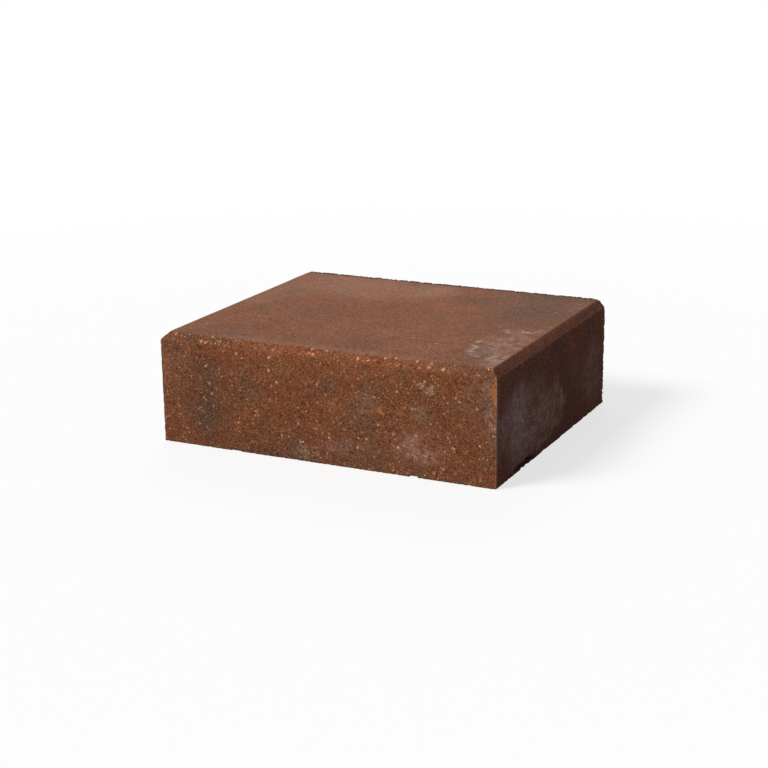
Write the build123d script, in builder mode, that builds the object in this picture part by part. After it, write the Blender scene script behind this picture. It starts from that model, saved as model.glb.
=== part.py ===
# Concrete step block: one dry-cast block that a garden stair is laid from.
# The tread is smooth and level, its front and end arrises are taken off at 45 degrees,
# and the back, which the next step up covers, is the face where two blocks were split apart.
# Frame: millimetres, origin under the middle of the block on the ground, +X along the step,
# -Y towards the person coming up it, +Z up.
import math
import os

from build123d import *

# Driving dimensions
length = 475.0  # along the step, end to end
depth = 400.0  # front face to the furthest point of the split back
height = 150.0  # the rise of one step
arris = 10.0  # leg of the 45 degree chamfer round the tread

# The split back: a broken face made of swells that get shorter and lower
swell_height = 1.1  # half the height of the longest swell
swell_length = 170.0  # crest to crest of the longest swell
swell_ratio = 1.3  # how much shorter and lower each swell is than the one before it
swell_count = 7  # swells added together
point_pitch = 10.0  # spacing of the points that the broken face passes through
split_margin = 15.0  # how far the broken face reaches past the block that it cuts
golden_angle = math.radians(137.508)  # turns each swell away from the ones before it


def broken_height(x, z):
    """How far the broken face stands out at a place along the length and up the height."""
    total = 0.0
    for swell in range(swell_count):
        shrink = swell_ratio**swell
        heading = swell * golden_angle
        along = x * math.cos(heading) + z * math.sin(heading)
        total += swell_height / shrink * math.sin(2 * math.pi * along * shrink / swell_length + swell)
    return total


def spread(start, end):
    """Evenly spaced places from start to end, at most the point pitch apart."""
    steps = math.ceil((end - start) / point_pitch)
    return [start + (end - start) * step / steps for step in range(steps + 1)]


# The broken face, set so that its crest is at the block's full depth
columns = spread(-length / 2 - split_margin, length / 2 + split_margin)
rows = spread(-split_margin, height + split_margin)
crest = max(broken_height(x, z) for x in columns for z in rows)
broken_points = [[(x, depth / 2 - crest + broken_height(x, z), z) for x in columns] for z in rows]
broken_face = Face.make_surface_from_array_of_points(broken_points)

with BuildPart() as step_block:
    # The block as it leaves the mould, still joined at its back to the one it is split from
    with BuildSketch() as bed:
        with Locations((0, split_margin / 2)):
            Rectangle(length, depth + split_margin)
    extrude(amount=height)

    # The tread's front and end arrises are chamfered, and meet in mitres at the corners
    tread = step_block.faces().sort_by(Axis.Z)[-1]
    chamfer(tread.edges().sort_by(Axis.Y)[:-1], arris)

    # Everything behind the broken face went with the other block
    extrude(broken_face, amount=depth, dir=(0, 1, 0), mode=Mode.SUBTRACT)

step_block.part.label = "step_block"

os.makedirs("parts", exist_ok=True)
export_step(step_block.part, "parts/step_block.step")

size = step_block.part.bounding_box()
print("box", size.min, size.max)
print("volume in litres", round(step_block.part.volume / 1e6, 3), "faces", len(step_block.faces()))
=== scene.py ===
import math

import bmesh
import bpy
from mathutils import Matrix, Vector, noise


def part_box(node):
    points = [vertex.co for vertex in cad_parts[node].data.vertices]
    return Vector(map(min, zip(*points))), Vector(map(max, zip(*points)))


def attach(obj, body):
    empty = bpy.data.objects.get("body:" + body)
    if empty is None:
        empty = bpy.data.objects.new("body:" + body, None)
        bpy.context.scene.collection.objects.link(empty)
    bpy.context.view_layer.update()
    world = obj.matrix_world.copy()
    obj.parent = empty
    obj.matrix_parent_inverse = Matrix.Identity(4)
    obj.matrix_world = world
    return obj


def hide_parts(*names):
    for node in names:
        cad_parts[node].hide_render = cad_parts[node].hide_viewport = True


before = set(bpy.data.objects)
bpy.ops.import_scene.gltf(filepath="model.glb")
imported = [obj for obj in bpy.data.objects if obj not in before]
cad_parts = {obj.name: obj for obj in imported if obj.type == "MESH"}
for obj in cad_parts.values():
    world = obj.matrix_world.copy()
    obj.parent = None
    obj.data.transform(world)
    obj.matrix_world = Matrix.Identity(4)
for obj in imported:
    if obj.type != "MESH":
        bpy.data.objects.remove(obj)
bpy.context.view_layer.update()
block_low, block_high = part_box("step_block")

bl_info = {
    "name": "Concrete Step Block",
    "version": (1, 0, 0),
    "blender": (4, 5, 0),
    "location": "View3D > Sidebar > Step Block",
    "description": "A dry-cast concrete step block with a rough riser, a smooth tread and a split back",
    "category": "Add Mesh",
}

MM = 0.001


def srgb(red, green, blue):
    """The linear colour of three 0 to 255 screen values."""
    return tuple((value / 255) ** 2.2 for value in (red, green, blue))


# Sizes and colours that a user would change


class BlockSizes(bpy.types.PropertyGroup):
    """The block's outline and how far its surfaces are worn and broken."""

    length: bpy.props.FloatProperty(
        name="Length",
        description="Length of the step, end to end",
        default=block_high.x - block_low.x,
        unit="LENGTH",
    )
    depth: bpy.props.FloatProperty(
        name="Depth",
        description="Depth from the riser to the furthest point of the split back",
        default=block_high.y - block_low.y,
        unit="LENGTH",
    )
    height: bpy.props.FloatProperty(
        name="Height",
        description="Rise of the step",
        default=block_high.z - block_low.z,
        unit="LENGTH",
    )
    arris: bpy.props.FloatProperty(
        name="Arris",
        description="Leg of the 45 degree chamfer round the tread",
        default=10.0 * MM,
        unit="LENGTH",
    )
    pitch: bpy.props.FloatProperty(
        name="Pitch",
        description="Spacing of the mesh over the riser and the split back",
        default=1.79 * MM,
        unit="LENGTH",
    )
    tread_pitch: bpy.props.FloatProperty(
        name="Tread Pitch",
        description="Mean spacing of the mesh from the riser to the back, where the surfaces are smoother",
        default=6.2 * MM,
        unit="LENGTH",
    )
    riser_relief: bpy.props.FloatProperty(
        name="Riser Relief",
        description="Height of the open texture of the riser",
        default=0.30 * MM,
        unit="LENGTH",
    )
    smooth_relief: bpy.props.FloatProperty(
        name="Smooth Relief",
        description="Height of the slight unevenness of the tread and the ends",
        default=0.22 * MM,
        unit="LENGTH",
    )
    split_relief: bpy.props.FloatProperty(
        name="Split Relief",
        description="Height of the lumps of the split back",
        default=3.2 * MM,
        unit="LENGTH",
    )


class BlockColours(bpy.types.PropertyGroup):
    """The colours of the concrete and of what lies on it, and of the shade painted into its hollows and
    along some arrises.
    """

    riser: bpy.props.FloatVectorProperty(
        name="Riser",
        description="Pigmented concrete of the riser and the bed",
        default=srgb(128, 80, 54),
        subtype="COLOR",
    )
    riser_deep: bpy.props.FloatVectorProperty(
        name="Riser Deep",
        description="Deeper red-brown in the riser, the bed and the broken concrete",
        default=srgb(113, 67, 45),
        subtype="COLOR",
    )
    riser_grey: bpy.props.FloatVectorProperty(
        name="Riser Grey",
        description="Cement-grey patches in the riser, the bed and the split back",
        default=srgb(108, 77, 58),
        subtype="COLOR",
    )
    riser_strong: bpy.props.FloatVectorProperty(
        name="Riser Strong",
        description="Stronger pigment towards the top of the riser",
        default=srgb(168, 100, 66),
        subtype="COLOR",
    )
    tread: bpy.props.FloatVectorProperty(
        name="Tread",
        description="Cement skin of the tread and the left end",
        default=srgb(128, 85, 63),
        subtype="COLOR",
    )
    tread_deep: bpy.props.FloatVectorProperty(
        name="Tread Deep",
        description="Deeper red in the tread and the left end",
        default=srgb(116, 74, 53),
        subtype="COLOR",
    )
    tread_grey: bpy.props.FloatVectorProperty(
        name="Tread Grey",
        description="Grey-brown patches in the tread and the ends",
        default=srgb(96, 72, 59),
        subtype="COLOR",
    )
    # Partly painted shade: the right end's colours are darker than the same skin on the left end, which
    # takes the tread's tones
    end: bpy.props.FloatVectorProperty(
        name="End",
        description="Cement skin of the right end",
        default=srgb(101, 58, 41),
        subtype="COLOR",
    )
    # Partly painted shade, as for the End colour
    end_deep: bpy.props.FloatVectorProperty(
        name="End Deep",
        description="Deeper red-brown in the right end",
        default=srgb(80, 42, 30),
        subtype="COLOR",
    )
    # Lighter than the right end's colours, as the chamfer takes more light: less of their painted shade lies
    # on it
    end_slope: bpy.props.FloatVectorProperty(
        name="End Slope",
        description="Lighter skin on the right end's chamfer",
        default=srgb(116, 72, 56),
        subtype="COLOR",
    )
    tread_pale: bpy.props.FloatVectorProperty(
        name="Tread Pale",
        description="Paler, drier skin towards the edges of the tread and the left end",
        default=srgb(152, 114, 94),
        subtype="COLOR",
    )
    # Partly painted shade: this colour also lies as a thin dark line along the riser's bottom and left
    # arrises
    cloud_and_shade: bpy.props.FloatVectorProperty(
        name="Cloud",
        description="Dark cement clouds in the riser and at the back of the tread",
        default=srgb(80, 66, 56),
        subtype="COLOR",
    )
    bloom: bpy.props.FloatVectorProperty(
        name="Bloom",
        description="Pale lime bloom of the tread and the left end",
        default=srgb(200, 184, 176),
        subtype="COLOR",
    )
    riser_bloom: bpy.props.FloatVectorProperty(
        name="Riser Bloom",
        description="Warmer lime bloom of the riser",
        default=srgb(206, 178, 160),
        subtype="COLOR",
    )
    end_bloom: bpy.props.FloatVectorProperty(
        name="End Bloom",
        description="Cooler lime bloom of the right end",
        default=srgb(184, 156, 158),
        subtype="COLOR",
    )
    end_pink: bpy.props.FloatVectorProperty(
        name="End Pink",
        description="Pinkish lime bloom of the right end, stained by the pigment",
        default=srgb(190, 148, 142),
        subtype="COLOR",
    )
    rubbed: bpy.props.FloatVectorProperty(
        name="Rubbed",
        description="Pale line where an arris is rubbed",
        default=srgb(190, 140, 108),
        subtype="COLOR",
    )
    pale_grain: bpy.props.FloatVectorProperty(
        name="Pale Grain",
        description="Cream grains of sand and gravel",
        default=srgb(230, 186, 146),
        subtype="COLOR",
    )
    warm_grain: bpy.props.FloatVectorProperty(
        name="Warm Grain",
        description="Pink and orange grains of sand and gravel",
        default=srgb(186, 108, 72),
        subtype="COLOR",
    )
    # Painted shade: the dark laid inside pores, pits and deep pockets
    pore_shade: bpy.props.FloatVectorProperty(
        name="Pore",
        description="Inside of a pore",
        default=srgb(44, 22, 13),
        subtype="COLOR",
    )
    rust: bpy.props.FloatVectorProperty(
        name="Rust",
        description="Ochre pigment and rust stains",
        default=srgb(174, 108, 60),
        subtype="COLOR",
    )
    # Partly painted shade: darkened for the shade on the split back and in crumbled arrises
    broken_and_shaded: bpy.props.FloatVectorProperty(
        name="Broken",
        description="Fresh concrete of the split back and of the crumbled arrises",
        default=srgb(66, 52, 47),
        subtype="COLOR",
    )


class StudioSettings(bpy.types.PropertyGroup):
    """The camera, the lamps and the floor."""

    azimuth: bpy.props.FloatProperty(
        name="Azimuth",
        description="Angle of the camera round the block from straight in front",
        default=math.radians(26.075),
        subtype="ANGLE",
    )
    elevation: bpy.props.FloatProperty(
        name="Elevation",
        description="Angle of the camera above the floor",
        default=math.radians(16.339),
        subtype="ANGLE",
    )
    roll: bpy.props.FloatProperty(
        name="Roll",
        description="Turn of the camera about its own axis",
        default=math.radians(-0.694),
        subtype="ANGLE",
    )
    distance: bpy.props.FloatProperty(
        name="Distance",
        description="Distance of the camera along its axis",
        default=2330.3 * MM,
        unit="LENGTH",
    )
    lens: bpy.props.FloatProperty(
        name="Lens",
        description="Focal length of the camera in millimetres",
        default=79.5,
    )
    aim_across: bpy.props.FloatProperty(
        name="Aim Across",
        description="How far right of the block's origin the camera aims",
        default=-9.7 * MM,
        unit="LENGTH",
    )
    aim_up: bpy.props.FloatProperty(
        name="Aim Up",
        description="How far above the block's origin the camera aims",
        default=50.5 * MM,
        unit="LENGTH",
    )
    key_level: bpy.props.FloatProperty(
        name="Key",
        description="Strength of the key lamp",
        default=3.2,
    )
    back_level: bpy.props.FloatProperty(
        name="Back",
        description="Strength of the lamp behind the block",
        default=0.75,
    )
    fill_level: bpy.props.FloatProperty(
        name="Fill",
        description="Strength of the even light from all round",
        default=0.15,
    )
    floor_tone: bpy.props.FloatProperty(
        name="Floor Tone",
        description="How much light the floor gives back",
        default=0.33,
    )
    floor_white: bpy.props.FloatProperty(
        name="Floor White",
        description="Share of plain white in the floor beside the block, where its shadow falls",
        default=0.72,
    )


# Shape of the block

GRID_CROWDING = 0.6  # how much closer the mesh lies to the riser and the back than halfway
FRONT = Vector((0, -1, 0))
BACK = Vector((0, 1, 0))
LEFT = Vector((-1, 0, 0))
RIGHT = Vector((1, 0, 0))
UP = Vector((0, 0, 1))
DOWN = Vector((0, 0, -1))
FRONT_SLOPE = (FRONT + UP).normalized()
LEFT_SLOPE = (LEFT + UP).normalized()
RIGHT_SLOPE = (RIGHT + UP).normalized()

# The swells of the split back, in millimetres: each is shorter and lower than the one before it
SWELL_HEIGHT = 1.1
SWELL_LENGTH = 170.0
SWELL_RATIO = 1.3
SWELL_COUNT = 7
GOLDEN_ANGLE = math.radians(137.508)

# Single breaks, in millimetres: middle, reach along each axis, and how far the concrete is gone
BREAKS = (
    # the notch in the riser's bottom arris
    (Vector((126.0, -200.0, 0.0)), Vector((6.5, 6.0, 4.0)), Vector((0.0, 2.2, 1.6))),
    # a small chip further left
    (Vector((-128.0, -200.0, 0.0)), Vector((9.0, 5.0, 2.5)), Vector((0.0, 0.8, 0.6))),
    # the long pocket low in the right end, and its deeper far part
    (Vector((237.5, -113.0, 4.4)), Vector((9.0, 42.0, 4.2)), Vector((-4.5, 0.0, 0.0))),
    (Vector((237.5, -90.0, 5.4)), Vector((9.0, 17.0, 5.4)), Vector((-3.0, 0.0, 0.0))),
)


def swell(x, z):
    """How far the split back stands out at a place along the length and up the height, in millimetres."""
    total = 0.0
    for step in range(SWELL_COUNT):
        shrink = SWELL_RATIO**step
        heading = step * GOLDEN_ANGLE
        along = x * math.cos(heading) + z * math.sin(heading)
        total += SWELL_HEIGHT / shrink * math.sin(math.tau * along * shrink / SWELL_LENGTH + step)
    return total


def ease(value, start, end):
    """0 up to start, 1 from end on, and smooth between them."""
    share = min(max((value - start) / (end - start), 0.0), 1.0)
    return share * share * (3.0 - 2.0 * share)


def rough(place, size, octaves=3):
    """Even roughness from about -1 to 1 with lumps of a given size in millimetres."""
    return noise.fractal(place / size, 0.6, 2.1, octaves, noise_basis="PERLIN_ORIGINAL")


NO_RUN = 1e-6  # metres along an axis under which an edge doesn't run along it


def edge_way(edge):
    """Which family of edges one belongs to: x, y or z along an axis, or slope across a chamfer."""
    run = edge.verts[1].co - edge.verts[0].co
    if abs(run.z) > NO_RUN and max(abs(run.x), abs(run.y)) > NO_RUN:
        return "slope"
    return max("xyz", key=lambda axis: abs(getattr(run, axis)))


def cast_grid(sizes):
    """The block as it is cast: a closed grid of quads with the tread's front and end arrises chamfered."""
    low = Vector((-sizes.length / 2, block_low.y, block_low.z))
    high = low + Vector((sizes.length, sizes.depth, sizes.height))
    middle = (low + high) / 2
    bm = bmesh.new()
    bmesh.ops.create_cube(bm, size=1.0)
    bmesh.ops.scale(bm, vec=high - low, verts=bm.verts)
    bmesh.ops.translate(bm, vec=middle, verts=bm.verts)

    tread_arrises = []
    for edge in bm.edges:
        centre = (edge.verts[0].co + edge.verts[1].co) / 2
        if centre.z > high.z - MM and centre.y < high.y - MM:
            tread_arrises.append(edge)
    bmesh.ops.bevel(
        bm,
        geom=tread_arrises,
        offset=sizes.arris,
        offset_type="OFFSET",
        affect="EDGES",
        segments=1,
        profile=0.5,
        material=-1,
    )
    chamfer_ends = [
        vert
        for vert in bm.verts
        if vert.co.y > high.y - MM and abs(vert.co.z - (high.z - sizes.arris)) < MM
    ]
    bmesh.ops.connect_verts(bm, verts=chamfer_ends)

    spans = {
        "x": (sizes.length, sizes.pitch),
        "y": (sizes.depth, sizes.tread_pitch),
        "z": (sizes.height - sizes.arris, sizes.pitch),
        "slope": (sizes.arris * math.sqrt(2), sizes.pitch),
    }
    for way, (span, pitch) in spans.items():
        edges = [edge for edge in bm.edges if edge_way(edge) == way]
        bmesh.ops.subdivide_edges(bm, edges=edges, cuts=round(span / pitch) - 1, use_grid_fill=True)
    if any(len(face.verts) != 4 for face in bm.faces):
        raise RuntimeError("the grid of the block isn't all quads")

    # The rows lie closer together towards the riser and the back, where the surface is broken
    start = low.y + sizes.arris
    reach = high.y - start
    for vert in bm.verts:
        share = (vert.co.y - start) / reach
        if share > 0:
            share -= GRID_CROWDING * math.sin(math.tau * share) / math.tau
            vert.co.y = start + reach * share
    return bm, low, high


def surfaces(low, high, arris):
    """The block's plane surfaces: a point on each, in millimetres, and the way that it faces."""
    low, high, arris = low / MM, high / MM, arris / MM
    return {
        "riser": (low, FRONT),
        "riser_slope": (Vector((0, low.y + arris, high.z)), FRONT_SLOPE),
        "tread": (high, UP),
        "left": (low, LEFT),
        "left_slope": (Vector((low.x + arris, 0, high.z)), LEFT_SLOPE),
        "right": (high, RIGHT),
        "right_slope": (Vector((high.x - arris, 0, high.z)), RIGHT_SLOPE),
        "split": (high, BACK),
        "bed": (low, DOWN),
    }


PIT_THERE = 7.0  # takes the chance that a pit is there from the place of its middle
PIT_THERE_SHIFT = Vector((3.1, 5.7, 1.3))  # sets that chance apart from the one for its size
PIT_SIZE = 5.0  # takes the chance for its size from there too
SMALLEST_PIT = 0.55  # radius of the smallest pit, as a share of the given one
PIT_SPREAD = 0.9  # how much larger the largest is, as a share of the given one


def pit(place, spacing, share, radius):
    """Depth, from 0 to 1, of a scatter of round pits. Share is how many of the possible ones are there."""
    distances, points = noise.voronoi(place / spacing)
    if noise.cell(points[0] * PIT_THERE + PIT_THERE_SHIFT) > share:
        return 0.0
    size = radius * (SMALLEST_PIT + PIT_SPREAD * noise.cell(points[0] * PIT_SIZE))
    return max(0.0, 1.0 - (distances[0] * spacing / size) ** 2)


RISER_LUMPS = 5.0  # size of the lumps of the riser's texture, in millimetres
RISER_LEAST = 0.2  # depth of its shallowest places, as a share of its relief
PORE_DEPTH = 3.0  # depth of its pores, as a share of its relief


def riser_depth(place, sizes, pores):
    """How deep the riser's open texture lies under its plane."""
    relief = sizes.riser_relief / MM
    texture = 0.5 + 0.5 * rough(place, RISER_LUMPS, 3)
    return relief * (RISER_LEAST + texture + PORE_DEPTH * pores)


SMOOTH_WAVES = 60.0  # size of the waves of the tread and the ends, in millimetres
SMOOTH_RIPPLES = 9.0  # size of their ripples, in millimetres
RIPPLE_SHARE = 0.35  # height of the ripples, as a share of the waves'


def smooth_depth(place, sizes):
    """How deep the cement skin of the tread and the ends lies under its plane."""
    relief = sizes.smooth_relief / MM
    waves = 0.5 + 0.5 * rough(place, SMOOTH_WAVES, 2)
    ripples = 0.5 + 0.5 * rough(place, SMOOTH_RIPPLES, 2)
    return relief * (waves + RIPPLE_SHARE * ripples)


FULLER_REACH = 40.0  # how far in from the tread and the ends the split back is fuller, in millimetres
FULLER_SHARE = 0.55  # share of its depth that the split back loses there
FULLER_SIDE = 0.4  # how much of that it loses towards the ends, beside the tread
SPLIT_LUMPS = 26.0  # size of the lumps of the split back, in millimetres
GRAVEL_SPACING = 14.0  # millimetres between its larger stones
GRIT_SPACING = 6.0  # millimetres between its smaller ones
STONE_STEEPNESS = 1.6  # how steeply a stone falls away from its crest
GRAVEL_STAND = 0.8  # share of the depth that a larger stone fills at its crest
GRIT_STAND = 0.5  # share that a smaller one fills


def stones(place, spacing):
    """Stones in the split back: 0 between them, and up to 1 at their crests."""
    return max(0.0, 1.0 - noise.voronoi(place / spacing)[0][0] * STONE_STEEPNESS)


def split_depth(place, sizes, crest):
    """How deep the split back lies behind its furthest point, which only its stones reach."""
    relief = sizes.split_relief / MM
    near_side = ease(abs(place.x), sizes.length / MM / 2 - FULLER_REACH, sizes.length / MM / 2)
    near_top = ease(place.z, sizes.height / MM - FULLER_REACH, sizes.height / MM)
    fuller = 1.0 - FULLER_SHARE * max(FULLER_SIDE * near_side, near_top)
    lumps = max(0.0, 0.5 + 0.5 * rough(place, SPLIT_LUMPS, 5))
    gravel = stones(place, GRAVEL_SPACING)
    grit = stones(place, GRIT_SPACING)
    depth = (crest - swell(place.x, place.z) + relief * lumps) * fuller
    return depth * (1.0 - GRAVEL_STAND * gravel) * (1.0 - GRIT_STAND * grit)


# Each arris: its two surfaces, how far in from it the crumbling reaches, how deep it goes, the size
# of the crumbs, how much of the arris is crumbled, how rubbed it is, and over what share of its
# reach all the skin is gone; that dark bare strip along the split back is partly painted shade
ARRISES = (
    ("riser", "riser_slope", 2.6, 0.4, 4.0, 0.40, 0.1, 0.0),
    ("riser_slope", "tread", 2.4, 0.35, 4.0, 0.40, 0.2, 0.0),
    ("riser_slope", "left_slope", 3.0, 0.7, 4.0, 0.5, 0.2, 0.0),
    ("riser_slope", "right_slope", 3.0, 0.7, 4.0, 0.5, 0.4, 0.0),
    ("riser", "left", 3.0, 0.6, 5.0, 0.45, 0.2, 0.0),
    ("riser", "right", 2.6, 0.45, 4.0, 0.40, 1.0, 0.0),
    ("left", "left_slope", 2.2, 0.3, 6.0, 0.3, 0.4, 0.0),
    ("left_slope", "tread", 2.2, 0.25, 6.0, 0.3, 0.3, 0.0),
    ("right", "right_slope", 2.2, 0.3, 6.0, 0.3, 0.8, 0.0),
    ("right_slope", "tread", 2.2, 0.25, 6.0, 0.3, 0.4, 0.0),
    ("riser", "bed", 3.0, 0.9, 5.0, 0.45, 0.0, 0.0),
    ("left", "bed", 3.5, 0.9, 6.0, 0.45, 0.0, 0.0),
    ("right", "bed", 3.5, 0.9, 6.0, 0.45, 0.0, 0.0),
    ("split", "tread", 12.0, 3.6, 3.2, 0.45, 0.0, 0.85),
    ("split", "left_slope", 9.0, 2.2, 3.4, 0.48, 0.0, 0.5),
    ("split", "right_slope", 9.0, 2.2, 3.4, 0.48, 0.0, 0.5),
    ("split", "left", 8.0, 2.2, 3.4, 0.44, 0.0, 0.35),
    ("split", "right", 8.0, 2.2, 3.4, 0.44, 0.0, 0.35),
    ("split", "bed", 8.0, 2.4, 6.0, 0.5, 0.0, 0.4),
)
WORN_ROUND = 0.22  # depth in millimetres to which every arris is rubbed round
RUB_REACH = 1.9  # how far in from a rubbed arris its pale line reaches, in millimetres
CRUMBLE_FALL = 1.4  # how steeply the loss falls off away from an arris
LOSS_FROM, LOSS_FULL = 0.9, 1.3  # roughness at which crumbling starts and is full, before the share
BROKEN_FADE = 0.6  # share of the reach over which crumbled concrete gives way to the skin
# The bare strip along the split back is painted dark: partly broken concrete, partly painted shade along the
# back edge
BARE_LUMPS = 16.0  # size of the tongues in which the skin ends at the split back, in millimetres
BARE_TONGUES = 0.5  # how far those tongues reach, as a share of the arris's reach
BARE_CRUMBS = 0.4  # how far the crumbs between them reach, likewise
BARE_FADE = 0.15  # how soft the end of the skin is, likewise
BREAK_LUMPS = 6.0  # size of the lumps in the outline of a single break, in millimetres
BREAK_RAGGED = 0.25  # how ragged that outline is, as a share of the break's reach
BREAK_FADE = 0.5  # share of its reach over which a break deepens


def crumble(place, gaps, planes):
    """How far the arrises near a place are broken back, and how broken and how rubbed it is, 0 to 1; the
    broken share is painted dark, partly as painted shade.
    """
    push = Vector()
    broken_and_shaded = 0.0
    rubbed = 0.0
    for first, second, reach, depth, size, share, rub, bare in ARRISES:
        distance = math.hypot(gaps[first], gaps[second])
        if distance >= reach:
            continue
        inward = -(planes[first][1] + planes[second][1]).normalized()
        fade = (1.0 - distance / reach) ** CRUMBLE_FALL
        loss = ease(rough(place, size, 3), LOSS_FROM - 2.0 * share, LOSS_FULL - share)
        push += inward * fade * (WORN_ROUND + depth * loss)
        near = ease(1.0 - distance / reach, 0.0, BROKEN_FADE)
        broken_and_shaded = max(broken_and_shaded, loss * near * min(1.0, depth))
        if bare > 0.0:
            crumbs = BARE_CRUMBS * rough(place, size, 2)
            tongues = BARE_TONGUES * rough(place, BARE_LUMPS, 2)
            uneven = distance / reach + crumbs + tongues
            broken_and_shaded = max(broken_and_shaded, 1.0 - ease(uneven, bare - BARE_FADE, bare + BARE_FADE))
        rubbed = max(rubbed, rub * (1.0 - ease(distance, 0.0, RUB_REACH)))
    for middle, reach, gone in BREAKS:
        offset = place - middle
        distance = Vector([offset[axis] / reach[axis] for axis in range(3)]).length
        loss = ease(1.0 - distance + BREAK_RAGGED * rough(place, BREAK_LUMPS, 3), 0.0, BREAK_FADE)
        push += gone * loss
        broken_and_shaded = max(broken_and_shaded, loss)
    return push, broken_and_shaded, rubbed


CREST_STEP = 5  # millimetres between the places where the swells' crest is looked for
ON_SURFACE = 0.01  # a vertex this near to a plane, in millimetres, lies on it
HOLLOW_FROM, HOLLOW_FULL = 2.4, 4.2  # depth at which a break starts to take painted shade, and takes it fully
PORE_SPACING, PORE_SHARE, PORE_RADIUS = 8.5, 0.34, 2.1  # the riser's larger pores, in millimetres
BED_RELIEF = 2.0  # relief of the bed, as a share of the smooth surfaces'
FOLLOW_REACH = 30.0  # how far in from the split back the rows move with it, in millimetres


def relief(bm, low, high, sizes):
    """Moves every vertex in from its plane by the relief of its surface, and notes where it is broken and
    where painted shade darkens its hollows.
    """
    planes = surfaces(low, high, sizes.arris)
    columns = range(math.floor(low.x / MM), math.ceil(high.x / MM), CREST_STEP)
    rows = range(math.floor(low.z / MM), math.ceil(high.z / MM), CREST_STEP)
    crest = max(swell(x, z) for x in columns for z in rows)
    broken_layer = bm.verts.layers.float.new("broken_and_shaded")
    rubbed_layer = bm.verts.layers.float.new("rubbed")
    hollow_layer = bm.verts.layers.float.new("hollow_shade")
    moves = []
    for vert in bm.verts:
        place = vert.co / MM
        gaps = {name: (point - place).dot(normal) for name, (point, normal) in planes.items()}
        push, broken_and_shaded, rubbed = crumble(place, gaps, planes)
        # Deep breaks take painted shade
        hollow_shade = ease(push.length, HOLLOW_FROM, HOLLOW_FULL)
        for name, (point, normal) in planes.items():
            if gaps[name] > ON_SURFACE:
                continue
            if name in ("riser", "riser_slope"):
                pores = pit(place, PORE_SPACING, PORE_SHARE, PORE_RADIUS)
                # The riser's pits take painted shade too
                hollow_shade = max(hollow_shade, pores)
                push -= normal * riser_depth(place, sizes, pores)
            elif name == "split":
                continue
            elif name == "bed":
                push -= normal * smooth_depth(place, sizes) * BED_RELIEF
            else:
                push -= normal * smooth_depth(place, sizes)
        # The rows just inside the back move with it, so that none are crossed
        if gaps["split"] < FOLLOW_REACH:
            follow = 1.0 - ease(gaps["split"], 0.0, FOLLOW_REACH)
            push.y -= split_depth(place, sizes, crest) * follow
        moves.append((vert, push * MM, broken_and_shaded, rubbed, hollow_shade))
    for vert, push, broken_and_shaded, rubbed, hollow_shade in moves:
        vert.co += push
        vert[broken_layer] = broken_and_shaded
        vert[rubbed_layer] = rubbed
        vert[hollow_layer] = hollow_shade


# The numbers of the materials, in the order of FINISHES
RISER, TREAD, RIGHT_END, SPLIT, BED, LEFT_END = range(6)
SKIN_EDGE = 2.6  # how far from the tread's front arris its skin may end, in millimetres
SKIN_LUMPS = 7.0  # size of the lumps in the skin's edge, in millimetres
HARDLY, PARTLY, HALF, NEARLY = 0.1, 0.3, 0.5, 0.9  # how much of a normal lies along an axis


def surface_of(face, skin_line):
    """The number of the material that a face takes, going by the way it faced before the relief."""
    normal = face.normal
    place = face.calc_center_median() / MM
    if normal.z > PARTLY and normal.y < HARDLY and abs(normal.x) < HARDLY:
        # The tread's skin ends unevenly, near the arris that it shares with the riser's chamfer
        edge = skin_line + SKIN_EDGE * rough(place, SKIN_LUMPS, 3)
        return TREAD if place.y > edge else RISER
    if normal.z > NEARLY:
        return TREAD
    if normal.z < -NEARLY:
        return BED
    if normal.y > NEARLY:
        return SPLIT
    if normal.x > HALF:
        return RIGHT_END
    if normal.x < -HALF:
        return LEFT_END
    return RISER


SMOOTH_TURN = 0.9  # cosine of the largest turn between two faces that is shaded smooth


def make_block(sizes):
    """The block's finished mesh."""
    bm, low, high = cast_grid(sizes)
    bmesh.ops.recalc_face_normals(bm, faces=bm.faces)
    skin_line = (low.y + sizes.arris) / MM
    for face in bm.faces:
        face.material_index = surface_of(face, skin_line)
        face.smooth = True
    for edge in bm.edges:
        first, second = edge.link_faces
        edge.smooth = first.normal.dot(second.normal) > SMOOTH_TURN
    relief(bm, low, high, sizes)
    mesh = bpy.data.meshes.new("step_block_cast")
    bm.to_mesh(mesh)
    bm.free()
    return mesh


# Shader nodes

MIX_FACTOR, MIX_A, MIX_B, MIX_RESULT = 0, 6, 7, 2  # the Mix node's sockets for colours
NODE_SPACING = 180.0  # how far apart the nodes lie in the shader editor


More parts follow.
